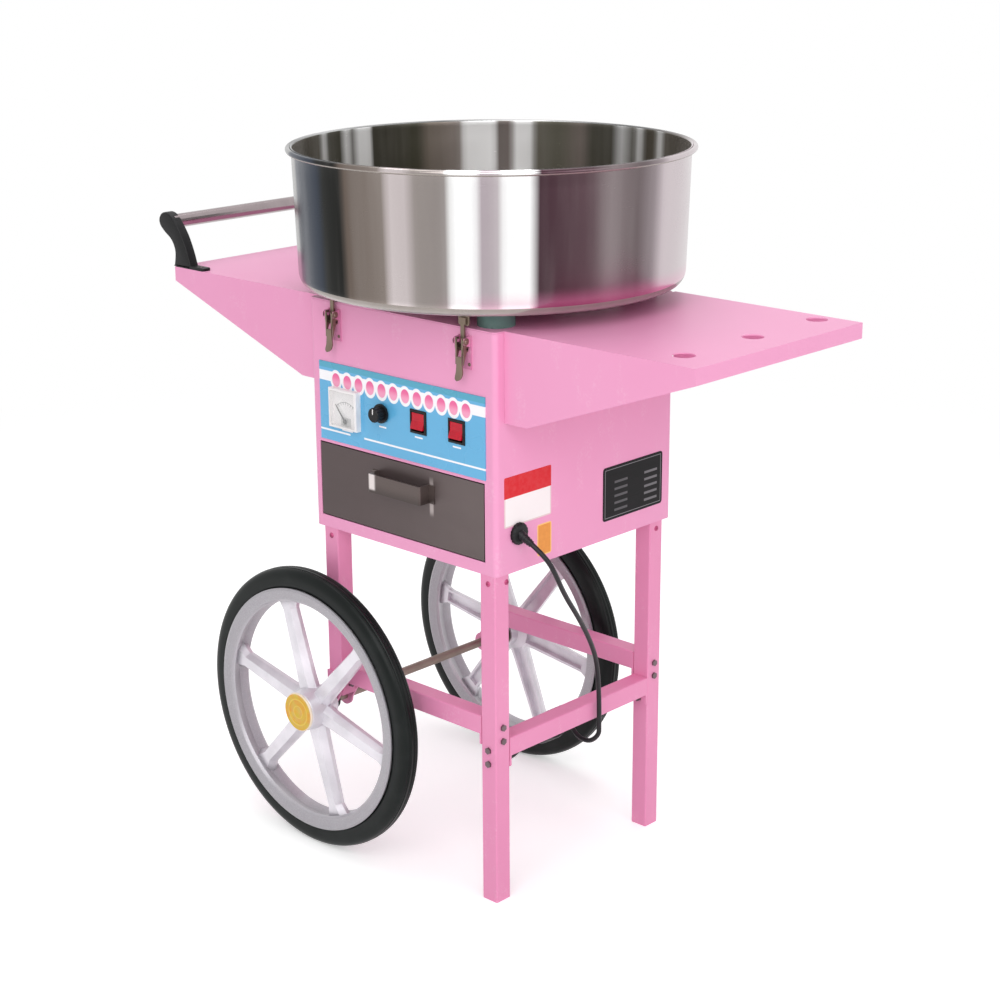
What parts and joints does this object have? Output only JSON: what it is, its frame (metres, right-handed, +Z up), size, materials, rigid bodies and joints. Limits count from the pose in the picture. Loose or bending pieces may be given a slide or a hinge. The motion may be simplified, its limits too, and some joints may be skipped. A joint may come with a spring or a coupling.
{
  "type": "candy floss cart",
  "caption": "Electric candy floss spinner in a steel cabinet with side shelves and a spun bowl, on a stand with two large wheels and a push handle.",
  "frame": {"origin": "On the spinner's axis, at floor level, midway between the cabinet's sides and between its front and back.", "axes": "+X to the right along the cabinet's front, +Y from the front to the back, +Z up."},
  "size_m": [0.9471, 0.5198, 0.944],
  "materials": {
    "pink_paint": "gloss powder coat",
    "stand_pink": "gloss powder coat",
    "bowl_steel": "spun and brushed around the axis",
    "polished_tube": "polished tube",
    "tyre_rubber": "solid rubber, satin",
    "wheel_silver": "silver paint on moulded rim",
    "cap_yellow": "moulded plastic",
    "black_plastic": "moulded plastic",
    "panel_film": "printed film",
    "meter_white": "moulded plastic with a white dial",
    "clear_window": "clear acrylic",
    "rocker_red": "translucent red plastic",
    "drawer_steel": "dark brushed front",
    "bright_steel": "bright folded steel",
    "latch_metal": "bronze-toned plated steel",
    "axle_metal": "plain steel",
    "fastener_metal": "plated steel",
    "inner_steel": "plain sheet steel",
    "motor_paint": "dark enamel",
    "head_aluminium": "cast and turned",
    "heater_metal": "heat-tinted ribbon",
    "pad_rubber": "soft pad",
    "cord_rubber": "smooth mains lead"
  },
  "bodies": {
    "root": {"cabinet_shell": "pink_paint", "base_plate": "pink_paint", "back_panel": "pink_paint", "top_plate": "pink_paint", "control_panel": "panel_film", "left_wing": "pink_paint", "right_wing": "pink_paint", "leg_front_left": "stand_pink", "leg_front_right": "stand_pink", "leg_rear_left": "stand_pink", "leg_rear_right": "stand_pink", "cross_rails": "stand_pink", "right_rail": "stand_pink", "axle_hangers": "stand_pink", "frame_bolts": "fastener_metal", "axle": "axle_metal", "handle_brackets": "black_plastic", "handle_tube": "polished_tube", "bowl_pads": "pad_rubber", "latch_bases": "latch_metal", "drawer_runners": "inner_steel", "meter_case": "meter_white", "meter_window": "clear_window", "panel_fittings": "black_plastic", "cable_gland": "black_plastic", "motor": "motor_paint", "motor_bridge": "inner_steel", "cord_lead": "cord_rubber", "cord_hank": "cord_rubber", "cord_plug": "cord_rubber", "cord_clip": "black_plastic"},
    "front_wheel": {"front_tyre": "tyre_rubber", "front_rim": "wheel_silver", "front_hub_cap": "cap_yellow", "front_bearings": "axle_metal"},
    "rear_wheel": {"rear_tyre": "tyre_rubber", "rear_rim": "wheel_silver", "rear_hub_cap": "cap_yellow", "rear_bearings": "axle_metal"},
    "drawer": {"drawer_tray": "inner_steel", "drawer_front": "drawer_steel", "drawer_pull": "bright_steel"},
    "bowl": {"bowl": "bowl_steel"},
    "spinner": {"spinner_shaft": "axle_metal", "head_base": "head_aluminium", "slotted_band": "head_aluminium", "heater_ring": "heater_metal", "head_cap": "head_aluminium"},
    "knob": {"knob": "black_plastic"},
    "rocker_left": {"rocker_left": "rocker_red"},
    "rocker_right": {"rocker_right": "rocker_red"},
    "needle": {"meter_needle": "black_plastic"},
    "lever_1": {"latch_lever_1": "latch_metal"},
    "hook_1": {"latch_hook_1": "latch_metal"},
    "lever_2": {"latch_lever_2": "latch_metal"},
    "hook_2": {"latch_hook_2": "latch_metal"},
    "lever_3": {"latch_lever_3": "latch_metal"},
    "hook_3": {"latch_hook_3": "latch_metal"},
    "lever_4": {"latch_lever_4": "latch_metal"},
    "hook_4": {"latch_hook_4": "latch_metal"}
  },
  "joints": [
    {"name": "front_wheel_spin", "type": "hinge", "parent": "root", "child": "front_wheel", "pos_m": [-0.148, -0.201, 0.195], "axis": [0, 1, 0], "continuous": true},
    {"name": "rear_wheel_spin", "type": "hinge", "parent": "root", "child": "rear_wheel", "pos_m": [-0.148, 0.201, 0.195], "axis": [0, 1, 0], "continuous": true},
    {"name": "drawer_slide", "type": "slide", "parent": "root", "child": "drawer", "axis": [0, -1, 0], "range_m": [0, 0.2]},
    {"name": "bowl_lift", "type": "slide", "parent": "root", "child": "bowl", "axis": [0, 0, 1], "range_m": [0, 0.25]},
    {"name": "spinner_spin", "type": "hinge", "parent": "root", "child": "spinner", "pos_m": [0, 0, 0.8], "axis": [0, 0, 1], "continuous": true},
    {"name": "knob_turn", "type": "hinge", "parent": "root", "child": "knob", "pos_m": [-0.031, -0.17, 0.6187], "axis": [0, -1, 0], "range_deg": [0, 270]},
    {"name": "rocker_left_tilt", "type": "hinge", "parent": "root", "child": "rocker_left", "pos_m": [0.034, -0.1661, 0.6186], "axis": [1, 0, 0], "range_deg": [0, 20]},
    {"name": "rocker_right_tilt", "type": "hinge", "parent": "root", "child": "rocker_right", "pos_m": [0.1007, -0.1661, 0.6186], "axis": [1, 0, 0], "range_deg": [0, 20]},
    {"name": "needle_swing", "type": "hinge", "parent": "root", "child": "needle", "pos_m": [-0.0975, -0.1745, 0.596], "axis": [0, 1, 0], "range_deg": [0, 80]},
    {"name": "latch_1_open", "type": "hinge", "parent": "root", "child": "lever_1", "pos_m": [-0.116, -0.1769, 0.735], "axis": [-1, 0, 0], "range_deg": [0, 90]},
    {"name": "latch_1_hook", "type": "hinge", "parent": "lever_1", "child": "hook_1", "pos_m": [-0.116, -0.1733, 0.725], "axis": [1, 0, 0], "range_deg": [0, 90]},
    {"name": "latch_2_open", "type": "hinge", "parent": "root", "child": "lever_2", "pos_m": [0.116, -0.1769, 0.735], "axis": [-1, 0, 0], "range_deg": [0, 90]},
    {"name": "latch_2_hook", "type": "hinge", "parent": "lever_2", "child": "hook_2", "pos_m": [0.116, -0.1733, 0.725], "axis": [1, 0, 0], "range_deg": [0, 90]},
    {"name": "latch_3_open", "type": "hinge", "parent": "root", "child": "lever_3", "pos_m": [-0.116, 0.1769, 0.735], "axis": [1, 0, 0], "range_deg": [0, 90]},
    {"name": "latch_3_hook", "type": "hinge", "parent": "lever_3", "child": "hook_3", "pos_m": [-0.116, 0.1733, 0.725], "axis": [-1, 0, 0], "range_deg": [0, 90]},
    {"name": "latch_4_open", "type": "hinge", "parent": "root", "child": "lever_4", "pos_m": [0.116, 0.1769, 0.735], "axis": [1, 0, 0], "range_deg": [0, 90]},
    {"name": "latch_4_hook", "type": "hinge", "parent": "lever_4", "child": "hook_4", "pos_m": [0.116, 0.1733, 0.725], "axis": [-1, 0, 0], "range_deg": [0, 90]}
  ],
  "couplings": [
    {"joint": "latch_1_hook", "follows": "latch_1_open", "ratio": 1},
    {"joint": "latch_2_hook", "follows": "latch_2_open", "ratio": 1},
    {"joint": "latch_3_hook", "follows": "latch_3_open", "ratio": 1},
    {"joint": "latch_4_hook", "follows": "latch_4_open", "ratio": 1}
  ]
}
